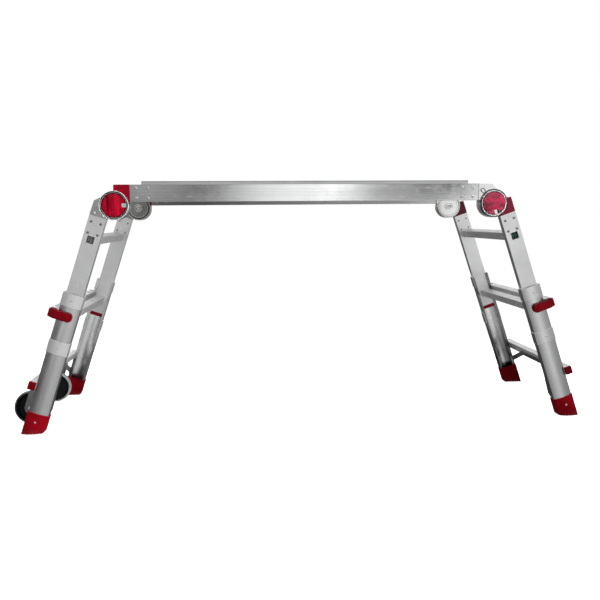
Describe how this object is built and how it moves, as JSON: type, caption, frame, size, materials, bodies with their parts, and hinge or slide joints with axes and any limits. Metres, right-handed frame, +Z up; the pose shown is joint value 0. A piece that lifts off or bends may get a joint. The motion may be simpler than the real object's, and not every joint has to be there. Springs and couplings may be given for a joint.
{
  "type": "folding work platform",
  "caption": "Folding aluminium work platform: a grooved deck between two hinged telescopic ladder legs with red locking knobs, lock levers, rubber feet and transport wheels at one end.",
  "frame": {"origin": "on the floor, at the middle of the whole part's box", "axes": "+Z up, +X along the deck towards the leg without wheels, +Y across it"},
  "size_m": [2.1942, 0.605, 0.9141],
  "materials": {
    "rail_aluminium": "mill-finish extrusion with a satin sheen",
    "outer_aluminium": "drawn extrusion with fine lengthwise lines",
    "collar_aluminium": "brushed pale band",
    "rung_aluminium": "extruded, with a ribbed tread",
    "deck_aluminium": "grooved non-slip extrusion",
    "hinge_aluminium": "die-cast, polished on its raised rims",
    "bracket_steel": "dark zinc-plated bar and plate",
    "fastener_steel": "plated steel",
    "red_plastic": "moulded, lightly textured",
    "red_rubber": "matt moulded rubber",
    "black_plastic": "moulded, fine grain",
    "grey_rubber": "smooth soft tread"
  },
  "bodies": {
    "platform": {"platform_rail_near": "rail_aluminium", "platform_rail_far": "rail_aluminium", "deck_planks": "deck_aluminium", "deck_cross_members": "deck_aluminium", "left_hinge_cores": "hinge_aluminium", "left_hinge_covers": "red_plastic", "left_hinge_axles": "fastener_steel", "left_knob_springs": "fastener_steel", "right_hinge_forks": "hinge_aluminium", "platform_rivets": "fastener_steel"},
    "left_upper_leg": {"left_inner_rail_near": "rail_aluminium", "left_inner_rail_far": "rail_aluminium", "left_inner_rungs": "rung_aluminium", "left_inner_end_caps": "red_plastic", "left_inner_rivets": "fastener_steel", "left_hinge_forks": "hinge_aluminium"},
    "left_lower_leg": {"left_outer_rail_near": "outer_aluminium", "left_outer_rail_far": "outer_aluminium", "left_collars": "collar_aluminium", "left_outer_rungs": "rung_aluminium", "left_rung_caps": "red_plastic", "left_braces": "bracket_steel", "left_feet": "red_rubber", "left_lock_guides": "fastener_steel", "left_lock_springs": "fastener_steel", "left_wheel_brackets": "bracket_steel"},
    "left_lever_near": {"left_lever_near": "red_plastic", "left_lock_pin_near": "fastener_steel"},
    "left_knob_near": {"left_knob_near": "red_plastic"},
    "left_lever_far": {"left_lever_far": "red_plastic", "left_lock_pin_far": "fastener_steel"},
    "left_knob_far": {"left_knob_far": "red_plastic"},
    "right_upper_leg": {"right_inner_rail_near": "rail_aluminium", "right_inner_rail_far": "rail_aluminium", "right_inner_rungs": "rung_aluminium", "right_inner_end_caps": "red_plastic", "right_inner_rivets": "fastener_steel", "right_hinge_cores": "hinge_aluminium", "right_hinge_covers": "red_plastic", "right_hinge_axles": "fastener_steel", "right_knob_springs": "fastener_steel"},
    "right_lower_leg": {"right_outer_rail_near": "outer_aluminium", "right_outer_rail_far": "outer_aluminium", "right_collars": "collar_aluminium", "right_outer_rungs": "rung_aluminium", "right_rung_caps": "red_plastic", "right_braces": "bracket_steel", "right_feet": "red_rubber", "right_lock_guides": "fastener_steel", "right_lock_springs": "fastener_steel"},
    "right_lever_near": {"right_lever_near": "red_plastic", "right_lock_pin_near": "fastener_steel"},
    "right_knob_near": {"right_knob_near": "red_plastic"},
    "right_lever_far": {"right_lever_far": "red_plastic", "right_lock_pin_far": "fastener_steel"},
    "right_knob_far": {"right_knob_far": "red_plastic"},
    "left_wheel_near": {"left_wheel_hub_near": "black_plastic", "left_wheel_tyre_near": "grey_rubber"},
    "left_wheel_far": {"left_wheel_hub_far": "black_plastic", "left_wheel_tyre_far": "grey_rubber"}
  },
  "joints": [
    {"name": "left_fold", "type": "hinge", "parent": "platform", "child": "left_upper_leg", "pos_m": [-0.66529, 0, 0.8292], "axis": [0, -1, 0], "range_deg": [0, 108.8]},
    {"name": "left_telescope", "type": "slide", "parent": "left_upper_leg", "child": "left_lower_leg", "axis": [0.3234, 0, 0.9463], "range_m": [0, 0.292]},
    {"name": "left_lever_near_pull", "type": "slide", "parent": "left_lower_leg", "child": "left_lever_near", "axis": [0, -1, 0], "range_m": [0, 0.01], "stiffness_N_per_m": 400, "springref_m": -0.008},
    {"name": "left_knob_near_press", "type": "slide", "parent": "platform", "child": "left_knob_near", "axis": [0, 1, 0], "range_m": [0, 0.005], "stiffness_N_per_m": 1200, "springref_m": -0.005},
    {"name": "left_lever_far_pull", "type": "slide", "parent": "left_lower_leg", "child": "left_lever_far", "axis": [0, 1, 0], "range_m": [0, 0.01], "stiffness_N_per_m": 400, "springref_m": -0.008},
    {"name": "left_knob_far_press", "type": "slide", "parent": "platform", "child": "left_knob_far", "axis": [0, -1, 0], "range_m": [0, 0.005], "stiffness_N_per_m": 1200, "springref_m": -0.005},
    {"name": "right_fold", "type": "hinge", "parent": "platform", "child": "right_upper_leg", "pos_m": [0.72471, 0, 0.8292], "axis": [0, 1, 0], "range_deg": [0, 108.8]},
    {"name": "right_telescope", "type": "slide", "parent": "right_upper_leg", "child": "right_lower_leg", "axis": [-0.3234, 0, 0.9463], "range_m": [0, 0.292]},
    {"name": "right_lever_near_pull", "type": "slide", "parent": "right_lower_leg", "child": "right_lever_near", "axis": [0, -1, 0], "range_m": [0, 0.01], "stiffness_N_per_m": 400, "springref_m": -0.008},
    {"name": "right_knob_near_press", "type": "slide", "parent": "right_upper_leg", "child": "right_knob_near", "axis": [0, 1, 0], "range_m": [0, 0.005], "stiffness_N_per_m": 1200, "springref_m": -0.005},
    {"name": "right_lever_far_pull", "type": "slide", "parent": "right_lower_leg", "child": "right_lever_far", "axis": [0, 1, 0], "range_m": [0, 0.01], "stiffness_N_per_m": 400, "springref_m": -0.008},
    {"name": "right_knob_far_press", "type": "slide", "parent": "right_upper_leg", "child": "right_knob_far", "axis": [0, -1, 0], "range_m": [0, 0.005], "stiffness_N_per_m": 1200, "springref_m": -0.005},
    {"name": "left_wheel_near_spin", "type": "hinge", "parent": "left_lower_leg", "child": "left_wheel_near", "pos_m": [-1.0321, -0.153, 0.06581], "axis": [0, 1, 0], "continuous": true},
    {"name": "left_wheel_far_spin", "type": "hinge", "parent": "left_lower_leg", "child": "left_wheel_far", "pos_m": [-1.0321, 0.153, 0.06581], "axis": [0, 1, 0], "continuous": true}
  ]
}
